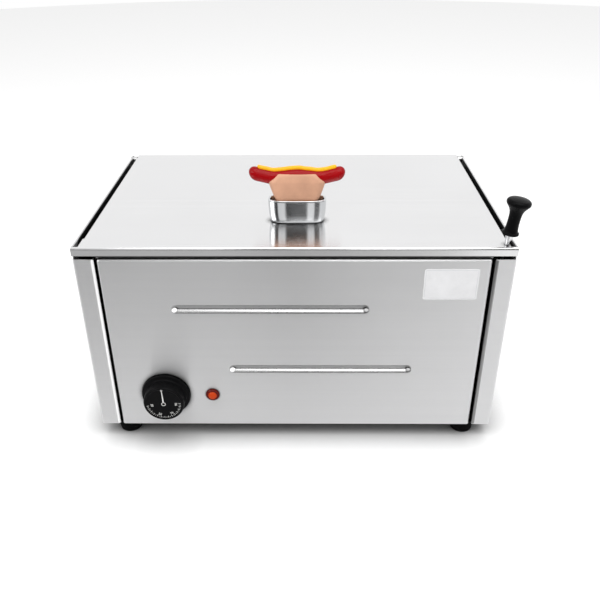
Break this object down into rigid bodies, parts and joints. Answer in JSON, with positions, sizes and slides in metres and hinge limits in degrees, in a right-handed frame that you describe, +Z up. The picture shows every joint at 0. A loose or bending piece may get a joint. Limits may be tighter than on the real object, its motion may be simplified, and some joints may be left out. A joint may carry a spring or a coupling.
{
  "type": "hot dog steamer",
  "caption": "Countertop steel hot dog steamer with a hinged lid, hot dog shaped handle, bun pick, control knob, pilot lamp, water tank, heater and two pans.",
  "frame": {"origin": "centre of the footprint, on the plane that the feet stand on", "axes": "+X to the right seen from the front, +Y to the back, +Z up"},
  "size_m": [0.4593, 0.3378, 0.3056],
  "materials": {
    "black_plastic": "matte",
    "brass": "satin",
    "bun_plastic": "satin",
    "chrome": "polished",
    "copper": "satin",
    "heater": "satin",
    "knob_plastic": "satin",
    "lamp_red": "gloss",
    "lamp_ring": "gloss",
    "mustard_plastic": "gloss",
    "pale_plastic": "matte",
    "plated_steel": "satin",
    "rubber": "matte",
    "sausage_plastic": "gloss",
    "steel": "brushed"
  },
  "bodies": {
    "casing": {"side_panel_left": "steel", "side_panel_right": "steel", "front_panel": "steel", "rear_panel": "steel", "rear_panel_screws": "plated_steel", "base_plate": "plated_steel", "foot_front_left": "rubber", "foot_front_right": "rubber", "foot_rear_left": "rubber", "foot_rear_right": "rubber", "foot_screws": "plated_steel", "foot_nuts": "plated_steel", "hinge_pins": "plated_steel", "hinge_spacers": "plated_steel", "hinge_clips": "plated_steel", "thermostat_body": "black_plastic", "thermostat_screws": "plated_steel", "thermostat_bulb": "copper", "bulb_clip": "plated_steel", "lamp_bezel": "lamp_ring", "lamp_lens": "lamp_red", "lamp_body": "black_plastic", "lamp_clip": "black_plastic", "water_tank": "steel", "rim_rail_left": "plated_steel", "rim_rail_right": "plated_steel", "rim_rail_rear": "plated_steel", "heating_element": "heater", "element_flanges": "brass", "element_nuts": "brass", "pan_bar": "steel", "sausage_pan": "steel", "bun_pan": "steel", "terminal_block": "pale_plastic", "terminal_screws": "brass", "earth_stud": "brass", "earth_nut": "brass", "cable_gland": "black_plastic", "gland_nut": "black_plastic"},
    "lid": {"lid_panel": "steel", "hinge_bosses": "plated_steel", "handle_cup": "chrome", "handle_bun": "bun_plastic", "handle_sausage": "sausage_plastic", "handle_mustard": "mustard_plastic", "handle_stud": "plated_steel", "handle_washer": "plated_steel", "handle_nut": "plated_steel"},
    "knob": {"control_knob": "knob_plastic", "thermostat_shaft": "plated_steel"},
    "pick": {"pick_grip": "black_plastic", "pick_ferrule": "plated_steel", "pick_spike": "plated_steel"}
  },
  "joints": [
    {"name": "lid_hinge", "type": "hinge", "parent": "casing", "child": "lid", "pos_m": [0, 0.138, 0.2383], "axis": [-1, 0, 0], "range_deg": [0, 97]},
    {"name": "knob_turn", "type": "hinge", "parent": "casing", "child": "knob", "pos_m": [-0.146, -0.15, 0.0605], "axis": [0, 1, 0], "range_deg": [0, 270]},
    {"name": "pick_lift", "type": "slide", "parent": "lid", "child": "pick", "axis": [0.1219, 0, 0.9925], "range_m": [0, 0.06]}
  ]
}
